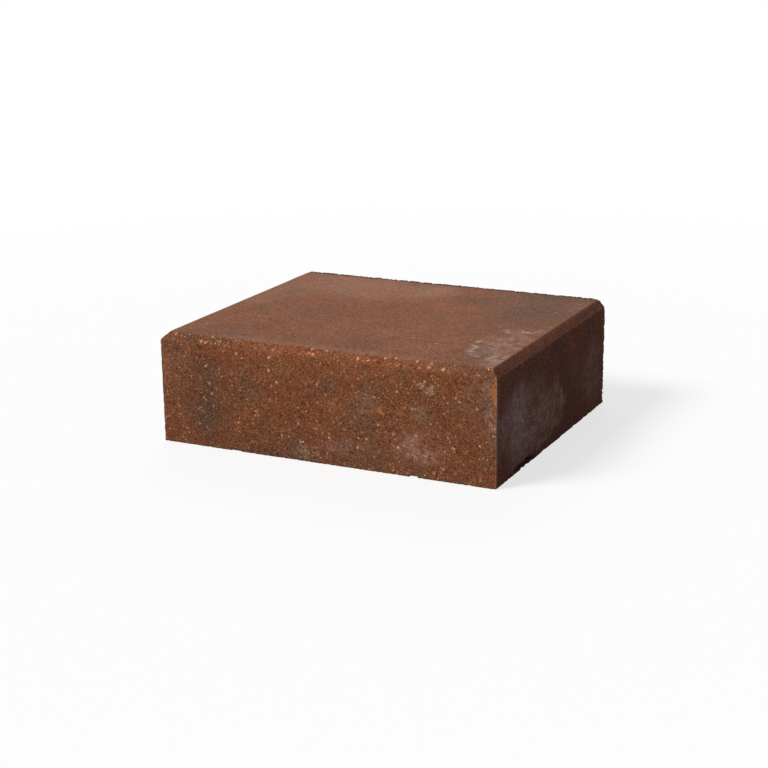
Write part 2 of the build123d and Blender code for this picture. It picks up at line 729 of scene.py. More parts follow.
class Graph:
    """Adds nodes to one tree. Any input takes a socket, a number, a colour or a vector."""

    def __init__(self, tree):
        self.tree = tree

    def feed(self, socket, value):
        if isinstance(value, bpy.types.NodeSocket):
            self.tree.links.new(value, socket)
        elif socket.type == "RGBA":
            socket.default_value = (*value[:3], 1.0)
        else:
            socket.default_value = value

    def add(self, kind, inputs, **settings):
        node = self.tree.nodes.new(kind)
        node.location = (NODE_SPACING * (len(self.tree.nodes) - 1), 0.0)
        for name, value in settings.items():
            setattr(node, name, value)
        for key, value in inputs.items():
            self.feed(node.inputs[key], value)
        return node

    def group(self, tree, **inputs):
        node = self.add("ShaderNodeGroup", {}, node_tree=tree)
        for name, value in inputs.items():
            self.feed(node.inputs[name.replace("_", " ").title()], value)
        return node.outputs

    def math(self, operation, first, second=0.0):
        return self.add("ShaderNodeMath", {0: first, 1: second}, operation=operation).outputs[0]

    def vector(self, operation, first, second=(0.0, 0.0, 0.0)):
        return self.add("ShaderNodeVectorMath", {0: first, 1: second}, operation=operation)

    def scaled(self, vector, scale):
        return self.add("ShaderNodeVectorMath", {0: vector, "Scale": scale}, operation="SCALE").outputs[0]

    def step(self, value, start, end):
        """0 up to start, 1 from end on, and smooth between them."""
        inputs = {"Value": value, "From Min": start, "From Max": end}
        return self.add("ShaderNodeMapRange", inputs, interpolation_type="SMOOTHSTEP").outputs[0]

    def noise(self, place, size, detail=3.0, roughness=0.55):
        """Noise with lumps of a given size, from 0 to 1."""
        inputs = {"Vector": place, "Detail": detail, "Roughness": roughness}
        node = self.add("ShaderNodeTexNoise", inputs)
        self.feed(node.inputs["Scale"], self.math("DIVIDE", 1.0, size))
        return node.outputs

    def mix(self, factor, first, second):
        inputs = {MIX_FACTOR: factor, MIX_A: first, MIX_B: second}
        return self.add("ShaderNodeMix", inputs, data_type="RGBA").outputs[MIX_RESULT]


def new_group(name, inputs, outputs):
    """An empty shader node group with its named sockets, and the graph, inputs and outputs inside it."""
    tree = bpy.data.node_groups.new(name, "ShaderNodeTree")
    for socket_name, kind, value in inputs:
        socket = tree.interface.new_socket(socket_name, in_out="INPUT", socket_type="NodeSocket" + kind)
        if kind == "Color":
            value = (*value, 1.0)
        socket.default_value = value
    for socket_name, kind in outputs:
        tree.interface.new_socket(socket_name, in_out="OUTPUT", socket_type="NodeSocket" + kind)
    graph = Graph(tree)
    inside = graph.add("NodeGroupInput", {}).outputs
    return tree, graph, inside


def finish_group(graph, **outputs):
    """Joins the values to the group's output sockets."""
    node = graph.add("NodeGroupOutput", {})
    for name, value in outputs.items():
        graph.feed(node.inputs[name.replace("_", " ").title()], value)


def mottle_group():
    """Two colours mixed in lumps of one size."""
    tree, graph, inside = new_group(
        "Mottle",
        [
            ("Place", "Vector", (0, 0, 0)),
            ("First", "Color", (0.2, 0.1, 0.05)),
            ("Second", "Color", (0.1, 0.05, 0.03)),
            ("Size", "Float", 20.0),
            ("Sharpness", "Float", 3.0),
            ("Share", "Float", 0.5),
        ],
        [("Colour", "Color")],
    )
    lumps = graph.noise(inside["Place"], inside["Size"], detail=5.0, roughness=0.62)[0]
    lumps = graph.math("SUBTRACT", graph.math("ADD", lumps, inside["Share"]), 1.0)
    factor = graph.math("ADD", graph.math("MULTIPLY", lumps, inside["Sharpness"]), 0.5)
    factor = graph.step(factor, 0.0, 1.0)
    finish_group(graph, colour=graph.mix(factor, inside["First"], inside["Second"]))
    return tree


FINE_SAND = 0.55  # size of the finer of the two mixed sands, as a share of the coarser
SAND_LUMPS = 1.8  # size of the hollows among the grains, in grains
SAND_TONE = 0.85  # how much of the light and dark comes from the grains
LUMP_TONE = 0.3  # how much of it comes from the hollows
GRAIN_FALL = 0.6  # how far a grain's rim lies under its middle


def sand_group():
    """Sand all over: the light and dark of each grain, a chance value for it, and its height."""
    tree, graph, inside = new_group(
        "Sand",
        [("Place", "Vector", (0, 0, 0)), ("Size", "Float", 1.6)],
        [("Tone", "Float"), ("Chance", "Float"), ("Height", "Float")],
    )
    grains = []
    for share in (1.0, FINE_SAND):
        size = graph.math("MULTIPLY", inside["Size"], share)
        place = graph.scaled(inside["Place"], graph.math("DIVIDE", 1.0, size))
        cells = graph.add("ShaderNodeTexVoronoi", {"Vector": place, "Scale": 1.0}, feature="F1").outputs
        chances = graph.add("ShaderNodeSeparateColor", {"Color": cells["Color"]}).outputs
        grains.append((chances["Red"], chances["Green"], cells["Distance"]))
    size = graph.math("MULTIPLY", inside["Size"], SAND_LUMPS)
    hollows = graph.noise(inside["Place"], size, detail=3.0, roughness=0.65)[0]
    tone = graph.math("SUBTRACT", graph.math("ADD", grains[0][0], grains[1][0]), 1.0)
    lumps = graph.math("MULTIPLY", graph.math("SUBTRACT", hollows, 0.5), LUMP_TONE)
    tone = graph.math("ADD", graph.math("MULTIPLY", tone, SAND_TONE), lumps)
    depth = graph.math("ADD", grains[0][2], graph.math("MULTIPLY", grains[1][2], FINE_SAND))
    height = graph.math("SUBTRACT", hollows, graph.math("MULTIPLY", depth, GRAIN_FALL))
    finish_group(graph, tone=tone, chance=grains[0][1], height=height)
    return tree


WOBBLE_SIZE = 0.9  # size of the waves in a speck's outline, as a share of its radius
SMALLEST_SPECK = 0.3  # least radius of a speck, as a share of the given one
CROWD_SIZE = 4.0  # size of the clusters, as a share of the specks' spacing
STRENGTH_CHANCE = 7.0  # takes a speck's strength from the chance for its colour
FAINTEST = 0.25  # strength of the faintest speck
SPECK_EDGE = 0.35  # share of its radius over which a speck fades at its outline
SPECK_ROUND = 0.8  # share of its radius over which its top is round


def specks_group():
    """Scattered grains or pores: where they are, a chance value for each, and how far they stand out."""
    tree, graph, inside = new_group(
        "Specks",
        [
            ("Place", "Vector", (0, 0, 0)),
            ("Spacing", "Float", 6.0),
            ("Radius", "Float", 2.0),
            ("Share", "Float", 0.3),
            ("Ragged", "Float", 1.0),
        ],
        [("Mask", "Float"), ("Chance", "Float"), ("Height", "Float")],
    )
    size = graph.math("MULTIPLY", inside["Radius"], WOBBLE_SIZE)
    wobble = graph.noise(inside["Place"], size, detail=3.0, roughness=0.65)[1]
    wobble = graph.vector("SUBTRACT", wobble, (0.5, 0.5, 0.5)).outputs[0]
    place = graph.vector("ADD", inside["Place"], graph.scaled(wobble, inside["Ragged"])).outputs[0]
    place = graph.scaled(place, graph.math("DIVIDE", 1.0, inside["Spacing"]))
    cells = graph.add("ShaderNodeTexVoronoi", {"Vector": place, "Scale": 1.0}, feature="F1").outputs
    chances = graph.add("ShaderNodeSeparateColor", {"Color": cells["Color"]}).outputs
    distance = graph.math("MULTIPLY", cells["Distance"], inside["Spacing"])
    radius = graph.math("ADD", chances["Red"], SMALLEST_SPECK)
    radius = graph.math("MULTIPLY", inside["Radius"], radius)
    inwards = graph.math("SUBTRACT", 1.0, graph.math("DIVIDE", distance, radius))
    # They lie in loose clusters. The crowd is a half on average, so the share is doubled
    size = graph.math("MULTIPLY", inside["Spacing"], CROWD_SIZE)
    crowd = graph.noise(inside["Place"], size, detail=2.0, roughness=0.5)[0]
    crowd = graph.math("MULTIPLY", graph.step(crowd, 0.2, 0.8), graph.math("MULTIPLY", inside["Share"], 2.0))
    there = graph.math("LESS_THAN", chances["Green"], crowd)
    # Each speck has its own strength, and most are faint
    strength = graph.math("FRACT", graph.math("MULTIPLY", chances["Blue"], STRENGTH_CHANCE))
    strength = graph.math("MULTIPLY", strength, strength)
    strength = graph.math("MULTIPLY", strength, 1.0 - FAINTEST)
    there = graph.math("MULTIPLY", there, graph.math("ADD", strength, FAINTEST))
    finish_group(
        graph,
        mask=graph.math("MULTIPLY", graph.step(inwards, 0.0, SPECK_EDGE), there),
        chance=chances["Blue"],
        height=graph.math("MULTIPLY", graph.step(inwards, 0.0, SPECK_ROUND), there),
    )
    return tree


DRIFT_SIZE = 2.0  # size of the waves in a stain's outline, in its lumps
DRIFT_REACH = 3.0  # how far those waves carry the outline, in its lumps


def stain_group():
    """The mask of one stain or cloud with an uneven outline."""
    tree, graph, inside = new_group(
        "Stain",
        [
            ("Place", "Vector", (0, 0, 0)),
            ("Middle", "Vector", (0, 0, 0)),
            ("Reach", "Vector", (30, 30, 30)),
            ("Size", "Float", 10.0),
            ("Softness", "Float", 0.6),
        ],
        [("Mask", "Float"), ("Distance", "Float")],
    )
    size = graph.math("MULTIPLY", inside["Size"], DRIFT_SIZE)
    drift = graph.noise(inside["Place"], size, detail=5.0, roughness=0.6)[1]
    drift = graph.vector("SUBTRACT", drift, (0.5, 0.5, 0.5)).outputs[0]
    drift = graph.scaled(drift, graph.math("MULTIPLY", inside["Size"], DRIFT_REACH))
    place = graph.vector("ADD", inside["Place"], drift).outputs[0]
    offset = graph.vector("SUBTRACT", place, inside["Middle"]).outputs[0]
    offset = graph.vector("DIVIDE", offset, inside["Reach"]).outputs[0]
    distance = graph.vector("LENGTH", offset).outputs["Value"]
    depth = graph.math("SUBTRACT", 1.0, distance)
    finish_group(graph, mask=graph.step(depth, 0.0, inside["Softness"]), distance=distance)
    return tree


BLOOM_FADE = 0.75  # share of its reach over which a bloom thickens
WISP_LUMPS = 0.7  # size of the lumps in a wisp, in wisps
RIM_PLACE = 0.86  # how far out the tide line lies, as a share of the reach
RIM_WIDTH = 0.2  # how far it reaches to each side, likewise
RIM_PARTS = 3.0  # length of the parts of the tide line, in wisps
DUST_LEAST = 0.2  # least share of its bloom that a grain of the surface carries


def bloom_group(stain):
    """Lime bloom: a haze broken into wisps and dust, with a brighter tide line along parts of its rim."""
    tree, graph, inside = new_group(
        "Bloom",
        [
            ("Place", "Vector", (0, 0, 0)),
            ("Middle", "Vector", (0, 0, 0)),
            ("Reach", "Vector", (30, 30, 30)),
            ("Size", "Float", 10.0),
            ("Wispy", "Float", 1.0),
            ("Haze", "Float", 0.4),
            ("Rim", "Float", 0.4),
            ("Dust", "Float", 1.8),
        ],
        [("Mask", "Float")],
    )
    spot = graph.group(
        stain,
        place=inside["Place"],
        middle=inside["Middle"],
        reach=inside["Reach"],
        size=inside["Size"],
        softness=BLOOM_FADE,
    )
    size = graph.math("MULTIPLY", inside["Size"], WISP_LUMPS)
    wisps = graph.noise(inside["Place"], size, detail=4.0, roughness=0.6)[0]
    patchy = graph.step(wisps, 0.38, 0.62)
    missing = graph.math("MULTIPLY", graph.math("SUBTRACT", 1.0, patchy), inside["Wispy"])
    patchy = graph.math("SUBTRACT", 1.0, missing)
    haze = graph.math("MULTIPLY", graph.math("MULTIPLY", spot["Mask"], patchy), inside["Haze"])
    near = graph.math("ABSOLUTE", graph.math("SUBTRACT", spot["Distance"], RIM_PLACE))
    line = graph.step(near, RIM_WIDTH, 0.0)
    size = graph.math("MULTIPLY", inside["Size"], RIM_PARTS)
    parts = graph.noise(inside["Place"], size, detail=2.0, roughness=0.5)[0]
    parts = graph.step(parts, 0.42, 0.54)
    rim = graph.math("MULTIPLY", graph.math("MULTIPLY", line, parts), inside["Rim"])
    rim = graph.math("MULTIPLY", rim, graph.step(wisps, 0.4, 0.6))
    # It lies as dust, thick on some grains of the surface and hardly there on others
    place = graph.scaled(inside["Place"], graph.math("DIVIDE", 1.0, inside["Dust"]))
    cells = graph.add("ShaderNodeTexVoronoi", {"Vector": place, "Scale": 1.0}, feature="F1").outputs
    chances = graph.add("ShaderNodeSeparateColor", {"Color": cells["Color"]}).outputs
    dust = graph.math("ADD", graph.math("MULTIPLY", chances["Red"], 2.0 - 2.0 * DUST_LEAST), DUST_LEAST)
    dusty = graph.math("MULTIPLY", graph.math("MAXIMUM", haze, rim), dust)
    finish_group(graph, mask=graph.math("MINIMUM", dusty, 1.0))
    return tree


DARKEST_SAND = 0.25  # least share of its colour that a grain of the fine sand keeps
DARKEST_PASTE = (0.02, 0.012, 0.008)  # least linear colour that any grain keeps
SLOPE_BAND = 11.0  # height of the chamfer's band along the top of an end, in millimetres
SLOPE_FADE = 2.0  # height over which the band begins, in millimetres
WARM_FROM, WARM_FULL = 0.78, 0.95  # chance from which a grain of sand is warm, and is fully warm
CRUMB_SAND = 2.2  # size of the sand in crumbled concrete, in millimetres
CRUMB_TONE = 1.1  # how light and dark that sand is
CRUMB_STAND = 0.5  # how far its sand and its stones stand out, in millimetres
STREAK_STRETCH = (1.0, 1.0, 0.12)  # draws the lumps out upright into streaks
CHALK_SIZE = 3.0  # size of the lumps in the pale line of a rubbed arris, in millimetres


class Finish:
    """One material of the block under construction: the colour and the height so far."""

    def __init__(self, name, groups, colours):
        self.material = bpy.data.materials.new(name)
        self.material.use_nodes = True
        self.graph = Graph(self.material.node_tree)
        self.shader = self.material.node_tree.nodes["Principled BSDF"]
        self.groups = groups
        self.colours = colours
        place = self.graph.add("ShaderNodeTexCoord", {}).outputs["Object"]
        self.place = self.graph.scaled(place, 1.0 / MM)
        self.colour = None
        self.height = None

    def cover(self, mask, colour, strength=1.0):
        """Lays a colour over what is there, where the mask is."""
        if strength != 1.0:
            mask = self.graph.math("MULTIPLY", mask, strength)
        self.colour = self.graph.mix(mask, self.colour, colour)

    def raise_by(self, height, amount):
        """Adds to the height, in millimetres."""
        change = self.graph.math("MULTIPLY", height, amount)
        self.height = change if self.height is None else self.graph.math("ADD", self.height, change)

    def effect(self, name, **values):
        """One of the shared groups, at this material's place on the block."""
        return self.graph.group(self.groups[name], place=self.place, **values)

    def mottle(self, first, second, size, sharpness, share=0.5):
        values = {"first": first, "second": second, "size": size, "sharpness": sharpness, "share": share}
        return self.effect("mottle", **values)["Colour"]

    def stains(self, colour, spots):
        """Several stains of one colour: middle, reach, size of the outline's lumps, softness, strength."""
        for middle, reach, size, softness, strength in spots:
            stain = self.effect("stain", middle=middle, reach=reach, size=size, softness=softness)
            self.cover(stain["Mask"], colour, strength)

    def blooms(self, colour, wispy, dust, spots):
        """Several hazes of bloom: middle, reach, size of the wisps, strength of the haze and of its rim."""
        for middle, reach, size, haze, rim in spots:
            values = {"middle": middle, "reach": reach, "size": size, "haze": haze, "rim": rim}
            mask = self.effect("bloom", wispy=wispy, dust=dust, **values)["Mask"]
            self.cover(mask, colour)

    def grains(self, spacing, radius, share, ragged, strength, stand):
        """Grains of sand or gravel, each somewhere between the warm and the pale colour."""
        specks = self.effect("specks", spacing=spacing, radius=radius, share=share, ragged=ragged)
        paleness = self.graph.math("MULTIPLY", specks["Chance"], specks["Chance"])
        grain = self.graph.mix(paleness, self.colours.warm_grain, self.colours.pale_grain)
        self.cover(specks["Mask"], grain, strength)
        self.raise_by(specks["Height"], stand)

    def pores(self, spacing, radius, share, ragged, strength, sink):
        """Open pores, dark inside with painted shade."""
        specks = self.effect("specks", spacing=spacing, radius=radius, share=share, ragged=ragged)
        self.cover(specks["Mask"], self.colours.pore_shade, strength)
        self.raise_by(specks["Height"], -sink)

    def sand(self, size, shade, dust, warmth, stand):
        """Fine sand all over: its light and dark, the dust on it, its few warm grains and its relief."""
        sand = self.effect("sand", size=size)
        warm = self.graph.step(sand["Chance"], WARM_FROM, WARM_FULL)
        self.cover(warm, self.colours.warm_grain, warmth)
        tone = self.graph.math("ADD", 1.0, self.graph.math("MULTIPLY", sand["Tone"], shade))
        tone = self.graph.math("MAXIMUM", tone, DARKEST_SAND)
        self.colour = self.graph.scaled(self.colour, tone)
        dust = self.graph.math("MULTIPLY", sand["Tone"], dust)
        self.colour = self.graph.vector("ADD", self.colour, dust).outputs[0]
        self.colour = self.graph.vector("MAXIMUM", self.colour, DARKEST_PASTE).outputs[0]
        self.raise_by(sand["Height"], stand)

    def crumbs(self, strength):
        """The concrete that shows where an arris has crumbled: paste, sand and a few stones, with the paste
        darkened partly as painted shade.
        """
        broken_and_shaded = self.graph.add("ShaderNodeAttribute", {}, attribute_name="broken_and_shaded").outputs["Fac"]
        sand = self.effect("sand", size=CRUMB_SAND)
        colours = self.colours
        paste = self.mottle(colours.broken_and_shaded, colours.riser_deep, size=9.0, sharpness=3.0, share=0.4)
        tone = self.graph.math("ADD", 1.0, self.graph.math("MULTIPLY", sand["Tone"], CRUMB_TONE))
        paste = self.graph.scaled(paste, self.graph.math("MAXIMUM", tone, DARKEST_SAND))
        stones = self.effect("specks", spacing=4.6, radius=2.4, share=0.1, ragged=3.0)
        paste = self.graph.mix(stones["Mask"], paste, colours.warm_grain)
        self.cover(broken_and_shaded, paste, strength)
        self.raise_by(self.graph.math("MULTIPLY", broken_and_shaded, sand["Height"]), CRUMB_STAND)
        self.raise_by(self.graph.math("MULTIPLY", broken_and_shaded, stones["Height"]), CRUMB_STAND)

    def hollows(self, strength):
        """Painted shade inside the pores and pockets that are in the mesh."""
        hollow_shade = self.graph.add("ShaderNodeAttribute", {}, attribute_name="hollow_shade").outputs["Fac"]
        self.cover(hollow_shade, self.colours.pore_shade, strength)

    def streaks(self, size, shade):
        """Faint upright streaks left by the mould."""
        place = self.graph.vector("MULTIPLY", self.place, STREAK_STRETCH).outputs[0]
        lumps = self.graph.noise(place, size, detail=4.0, roughness=0.65)[0]
        lumps = self.graph.math("SUBTRACT", lumps, 0.5)
        tone = self.graph.math("ADD", 1.0, self.graph.math("MULTIPLY", lumps, shade))
        self.colour = self.graph.scaled(self.colour, tone)

    def slopes(self, colour, strength):
        """The chamfer along the top of an end, which takes more light and wear than the end, so less of the
        end's painted shade is laid on it.
        """
        height = self.graph.add("ShaderNodeSeparateXYZ", {"Vector": self.place}).outputs["Z"]
        low = block_high.z / MM - SLOPE_BAND
        self.cover(self.graph.step(height, low, low + SLOPE_FADE), colour, strength)

    def rub(self, strength):
        """The pale line where an arris is rubbed."""
        rubbed = self.graph.add("ShaderNodeAttribute", {}, attribute_name="rubbed").outputs["Fac"]
        chalk = self.graph.noise(self.place, CHALK_SIZE, detail=4.0, roughness=0.7)[0]
        chalk = self.graph.step(chalk, 0.35, 0.65)
        self.cover(self.graph.math("MULTIPLY", rubbed, chalk), self.colours.rubbed, strength)

    def done(self, roughness, specular):
        """Joins the colour and the height to the shader."""
        self.graph.feed(self.shader.inputs["Base Color"], self.colour)
        bump = self.graph.add("ShaderNodeBump", {"Height": self.height, "Distance": MM, "Strength": 1.0})
        self.graph.feed(self.shader.inputs["Normal"], bump.outputs[0])
        self.shader.inputs["Roughness"].default_value = roughness
        self.shader.inputs["Specular IOR Level"].default_value = specular
        return self.material


# Stains and blooms where they lie on the block, in millimetres. A stain has its middle, its reach, the
# size of the lumps in its outline, its softness and its strength. A bloom has its middle, its reach,
# the size of its wisps, the strength of its haze and the strength of its rim.
RISER_CLOUDS_AND_SHADE = (
    ((-170.0, -200.0, 66.0), (42.0, 60.0, 104.0), 14.0, 1.0, 0.6),
    ((-160.0, -200.0, 50.0), (18.0, 60.0, 34.0), 10.0, 1.0, 0.3),
    ((-196.0, -195.0, 146.0), (26.0, 30.0, 9.0), 6.0, 0.7, 0.55),
    ((-150.0, -195.0, 146.0), (24.0, 30.0, 7.0), 6.0, 0.7, 0.55),
    ((195.0, -195.0, 146.0), (44.0, 30.0, 9.0), 6.0, 0.7, 0.4),
    ((4.0, -200.0, 102.0), (22.0, 30.0, 14.0), 8.0, 0.9, 0.3),
    ((222.0, -200.0, 96.0), (20.0, 30.0, 50.0), 10.0, 0.9, 0.3),
    ((-70.0, -200.0, 6.0), (60.0, 30.0, 12.0), 8.0, 0.9, 0.3),
    ((-20.0, -200.0, 0.0), (320.0, 30.0, 46.0), 16.0, 1.0, 0.28),
    # painted shade: a thin dark line along the bed, where the block meets the floor, and along the left
    # arris
    ((0.0, -200.0, -1.0), (420.0, 30.0, 4.5), 2.0, 0.8, 0.7),
    ((-239.0, -200.0, 70.0), (4.5, 30.0, 160.0), 2.0, 0.8, 0.6),
)
RISER_STRONGS = (
    ((0.0, -200.0, 130.0), (260.0, 30.0, 34.0), 10.0, 1.0, 0.2),
    ((18.0, -200.0, 80.0), (26.0, 30.0, 24.0), 8.0, 1.0, 0.2),
    ((-226.0, -200.0, 92.0), (24.0, 30.0, 60.0), 8.0, 1.0, 0.1),
)
RISER_RUSTS = (
    ((82.0, -200.0, 81.0), (8.0, 20.0, 8.0), 5.0, 0.9, 0.8),
    ((109.0, -200.0, 81.0), (11.0, 20.0, 5.0), 5.0, 0.9, 0.4),
    ((175.0, -200.0, 60.0), (4.0, 20.0, 9.0), 4.0, 0.9, 0.5),
    ((240.0, -200.0, 122.0), (13.0, 20.0, 32.0), 6.0, 0.8, 0.95),
)
RISER_BLOOMS = (
    # the wisp that lies like a roof near the top
    ((137.0, -200.0, 121.0), (9.0, 30.0, 6.0), 3.0, 0.5, 0.0),
    ((150.0, -200.0, 115.0), (9.0, 30.0, 8.0), 3.0, 0.5, 0.0),
    # the cloud low on the right and its thicker middle
    ((136.0, -200.0, 42.0), (60.0, 30.0, 38.0), 16.0, 0.14, 0.0),
    ((136.0, -200.0, 29.0), (32.0, 30.0, 14.0), 8.0, 0.2, 0.0),
    ((122.0, -200.0, 46.0), (14.0, 30.0, 16.0), 6.0, 0.2, 0.0),
    # the streaks at the bottom of the middle
    ((-22.0, -200.0, 12.0), (26.0, 30.0, 15.0), 6.0, 0.24, 0.0),
    ((11.0, -200.0, 23.0), (22.0, 30.0, 6.0), 6.0, 0.18, 0.0),
    ((58.0, -200.0, 90.0), (28.0, 30.0, 24.0), 10.0, 0.13, 0.0),
    ((40.0, -200.0, 28.0), (50.0, 30.0, 16.0), 10.0, 0.08, 0.0),
    ((-214.0, -200.0, 106.0), (34.0, 30.0, 36.0), 12.0, 0.07, 0.0),
    ((136.0, -200.0, 84.0), (20.0, 30.0, 18.0), 9.0, 0.1, 0.0),
    ((210.0, -200.0, 112.0), (30.0, 30.0, 36.0), 9.0, 0.08, 0.0),
    ((234.0, -200.0, 84.0), (15.0, 30.0, 46.0), 8.0, 0.2, 0.0),
    ((226.0, -200.0, 124.0), (11.0, 30.0, 20.0), 6.0, 0.18, 0.0),
)
# the greyer right half, and a patch near the riser
TREAD_PATCHES = (
    ((180.0, 106.0, 150.0), (106.0, 196.0, 60.0), 22.0, 1.0, 0.95),
    ((-127.0, -127.0, 150.0), (46.0, 20.0, 30.0), 12.0, 1.0, 0.35),
)
# the dark back right corner
TREAD_DARKS = (
    ((150.0, 196.0, 150.0), (100.0, 64.0, 60.0), 16.0, 1.0, 0.7),
)
TREAD_DEEPS = (
    ((-80.0, -10.0, 150.0), (120.0, 80.0, 30.0), 22.0, 1.0, 0.7),
)
TREAD_PALES = (
    ((-120.0, 140.0, 150.0), (190.0, 120.0, 60.0), 26.0, 1.0, 0.5),
    ((-2.0, 150.0, 150.0), (56.0, 66.0, 60.0), 16.0, 1.0, 0.5),
    ((-215.0, 40.0, 150.0), (40.0, 130.0, 60.0), 14.0, 1.0, 0.35),
    ((-20.0, -194.0, 150.0), (230.0, 24.0, 20.0), 10.0, 1.0, 0.45),
)
# the arc at the right end, the haze in the front corner, and a fainter one at the back
TREAD_BLOOMS = (
    ((204.0, -80.0, 150.0), (46.0, 84.0, 40.0), 18.0, 0.17, 0.38),
    ((222.0, -160.0, 150.0), (28.0, 64.0, 40.0), 16.0, 0.19, 0.0),
    ((216.0, 140.0, 150.0), (20.0, 40.0, 30.0), 12.0, 0.08, 0.0),
)
END_DARKS = (
    # the brown patch at the top of the right end's bloom, and the strip that the bloom leaves out
    ((237.5, 2.0, 90.0), (60.0, 16.0, 18.0), 7.0, 0.9, 0.5),
    ((237.5, 30.0, 6.0), (60.0, 130.0, 22.0), 12.0, 1.0, 0.45),
    # the darker and redder lower part behind the bloom
    ((237.5, 66.0, 26.0), (60.0, 76.0, 54.0), 12.0, 1.0, 0.8),
)
# lighter and darker lengths of the right end's chamfer
SLOPE_PALES = (
    ((232.5, -60.0, 147.0), (12.0, 60.0, 10.0), 8.0, 1.0, 0.6),
)
SLOPE_DARKS = (
    ((232.5, 120.0, 145.0), (12.0, 70.0, 8.0), 8.0, 1.0, 0.45),
    ((232.5, -190.0, 145.0), (12.0, 26.0, 8.0), 6.0, 1.0, 0.3),
)
END_BLOOMS = (
    ((237.5, -124.0, 70.0), (60.0, 48.0, 60.0), 16.0, 0.54, 0.0),
    ((237.5, -168.0, 70.0), (60.0, 32.0, 46.0), 14.0, 0.32, 0.0),
    ((237.5, -112.0, 28.0), (60.0, 66.0, 32.0), 12.0, 0.44, 0.0),
    ((237.5, -204.0, 84.0), (60.0, 20.0, 80.0), 9.0, 0.34, 0.0),
)
END_PINKS = (
    ((237.5, -36.0, 46.0), (60.0, 80.0, 44.0), 16.0, 0.56, 0.4),
    ((237.5, -70.0, 84.0), (60.0, 56.0, 38.0), 14.0, 0.22, 0.0),
    # the brighter line round the far side and the bottom
    ((237.5, 6.0, 78.0), (60.0, 15.0, 20.0), 7.0, 0.3, 0.0),
    ((237.5, 27.0, 52.0), (60.0, 12.0, 24.0), 7.0, 0.36, 0.0),
    ((237.5, 6.0, 27.0), (60.0, 28.0, 10.0), 7.0, 0.34, 0.0),
    ((237.5, -50.0, 17.0), (60.0, 46.0, 9.0), 7.0, 0.4, 0.0),
    ((237.5, 147.0, 50.0), (60.0, 62.0, 76.0), 20.0, 0.24, 0.0),
)
LEFT_END_PALES = (
    ((-237.5, 120.0, 110.0), (60.0, 110.0, 40.0), 20.0, 1.0, 0.45),
    ((-237.5, -150.0, 120.0), (60.0, 60.0, 30.0), 16.0, 1.0, 0.35),
)
LEFT_END_DEEPS = (
    ((-237.5, -40.0, 10.0), (60.0, 170.0, 34.0), 16.0, 1.0, 0.6),
    ((-237.5, 60.0, 70.0), (60.0, 40.0, 46.0), 14.0, 1.0, 0.5),
)
LEFT_END_BLOOMS = (
    ((-237.5, -80.0, 58.0), (60.0, 100.0, 50.0), 20.0, 0.2, 0.1),
    ((-237.5, 128.0, 46.0), (60.0, 56.0, 40.0), 16.0, 0.13, 0.0),
)


def riser_finish(groups, colours):
    """The rough riser and its chamfer: open texture with grains, pores dark inside with painted shade, dark
    clouds, painted shade along its bottom and left arrises, and hazes of bloom.
    """
    finish = Finish("riser_concrete", groups, colours)
    base = finish.mottle(colours.riser, colours.riser_deep, size=14.0, sharpness=1.8)
    finish.colour = finish.mottle(base, colours.riser_grey, size=36.0, sharpness=2.2, share=0.42)
    finish.stains(colours.riser_strong, RISER_STRONGS)
    # dark clouds, and painted shade along the bottom and left arrises
    finish.stains(colours.cloud_and_shade, RISER_CLOUDS_AND_SHADE)
    finish.stains(colours.rust, RISER_RUSTS)
    finish.sand(size=1.15, shade=1.0, dust=0.022, warmth=0.15, stand=0.3)
    finish.pores(spacing=4.3, radius=1.35, share=0.2, ragged=4.5, strength=1.0, sink=0.5)
    finish.grains(spacing=3.1, radius=1.3, share=0.42, ragged=4.5, strength=0.95, stand=0.1)
    finish.blooms(colours.riser_bloom, wispy=1.0, dust=1.3, spots=RISER_BLOOMS)
    finish.grains(spacing=5.3, radius=1.8, share=0.26, ragged=6.0, strength=1.0, stand=0.15)
    finish.grains(spacing=6.2, radius=2.3, share=0.22, ragged=5.0, strength=1.0, stand=0.12)
    finish.grains(spacing=7.6, radius=2.7, share=0.24, ragged=6.0, strength=1.0, stand=0.15)
    finish.crumbs(strength=0.5)
    finish.hollows(strength=0.6)
    finish.rub(strength=0.8)
    return finish.done(roughness=0.92, specular=0.1)


def tread_finish(groups, colours):
    """The smooth tread: a cement skin with soft patches, a few small grains and wisps of bloom."""
    finish = Finish("tread_concrete", groups, colours)
    base = finish.mottle(colours.tread, colours.tread_deep, size=44.0, sharpness=2.0)
    finish.colour = finish.mottle(base, colours.tread_grey, size=110.0, sharpness=2.2, share=0.36)
    finish.stains(colours.tread_grey, TREAD_PATCHES)
    finish.stains(colours.cloud_and_shade, TREAD_DARKS)
    finish.stains(colours.tread_deep, TREAD_DEEPS)
    finish.stains(colours.tread_pale, TREAD_PALES)
    finish.sand(size=1.9, shade=0.38, dust=0.042, warmth=0.06, stand=0.06)
    finish.grains(spacing=7.0, radius=2.4, share=0.025, ragged=6.0, strength=0.8, stand=0.04)
    finish.pores(spacing=6.0, radius=1.4, share=0.05, ragged=2.6, strength=0.6, sink=0.12)
    finish.blooms(colours.bloom, wispy=1.0, dust=1.8, spots=TREAD_BLOOMS)
    finish.crumbs(strength=0.9)
    finish.rub(strength=0.3)
    return finish.done(roughness=0.85, specular=0.12)


